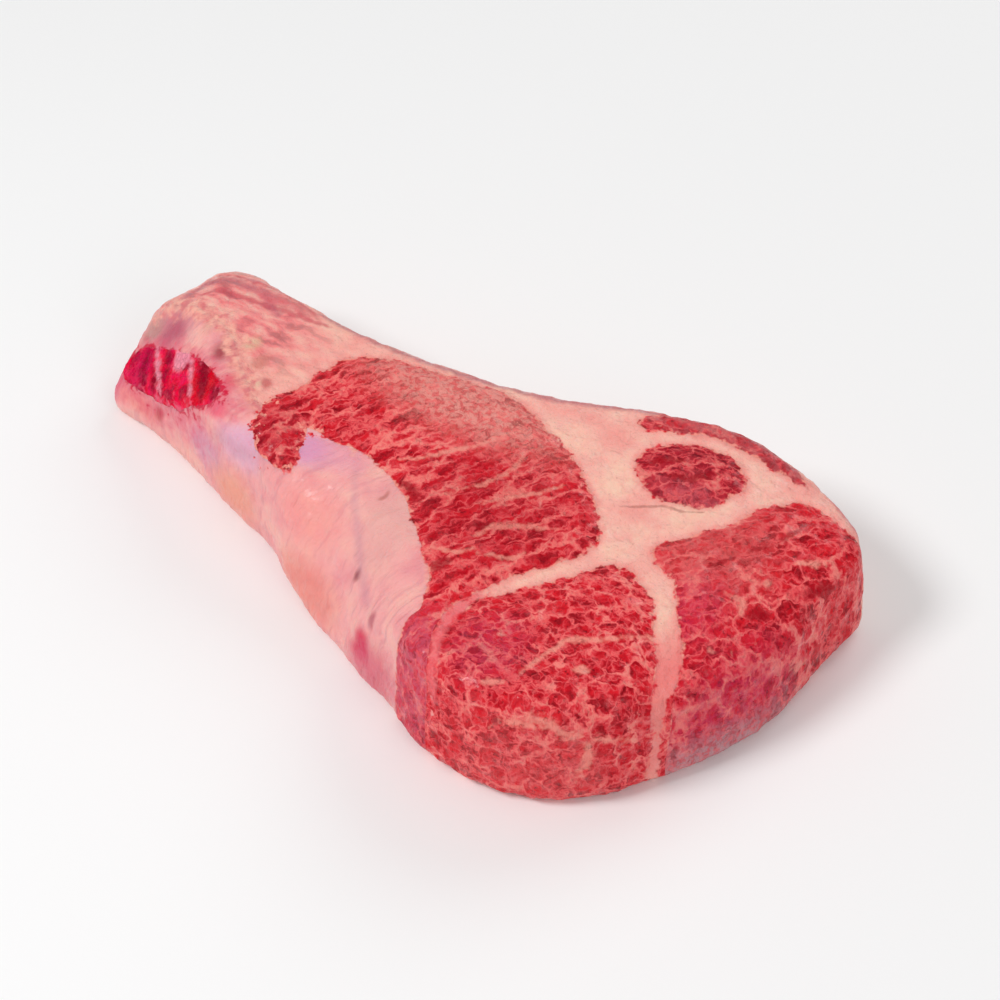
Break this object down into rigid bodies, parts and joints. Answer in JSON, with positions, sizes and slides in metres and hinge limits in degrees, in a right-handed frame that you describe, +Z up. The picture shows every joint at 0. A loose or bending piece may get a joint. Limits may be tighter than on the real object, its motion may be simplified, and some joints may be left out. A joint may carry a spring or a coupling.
{
  "type": "raw bone-in beef rib steak",
  "caption": "Thick raw beef rib steak lying on its cut face: marbled muscles parted by fat seams, with a curved rib bone along one side, sawn off at the narrow end.",
  "frame": {"origin": "bottom centre of the bounding box, on the surface that the steak lies on", "axes": "+X from the sawn rib end to the broad eye end, +Y away from the rib bone, +Z up through the thickness"},
  "size_m": [0.2746, 0.15, 0.0465],
  "materials": {
    "rib_lean": "moist raw lean with streaky marbling",
    "eye_lean": "moist raw lean with a net of marbling",
    "cap_lean": "moist raw lean, blotchy marbling",
    "small_lean": "moist raw lean, dark with fine streaks",
    "edge_lean": "moist pale raw lean",
    "bone": "moist membrane over bone",
    "marrow": "spongy red marrow",
    "fat": "soft waxy raw fat"
  },
  "bodies": {
    "root": {"rib_muscle": "rib_lean", "eye_muscle": "eye_lean", "cap_muscle": "cap_lean", "small_muscle": "small_lean", "edge_muscle": "edge_lean", "rib_bone": "bone", "marrow": "marrow", "fat": "fat"}
  },
  "joints": []
}
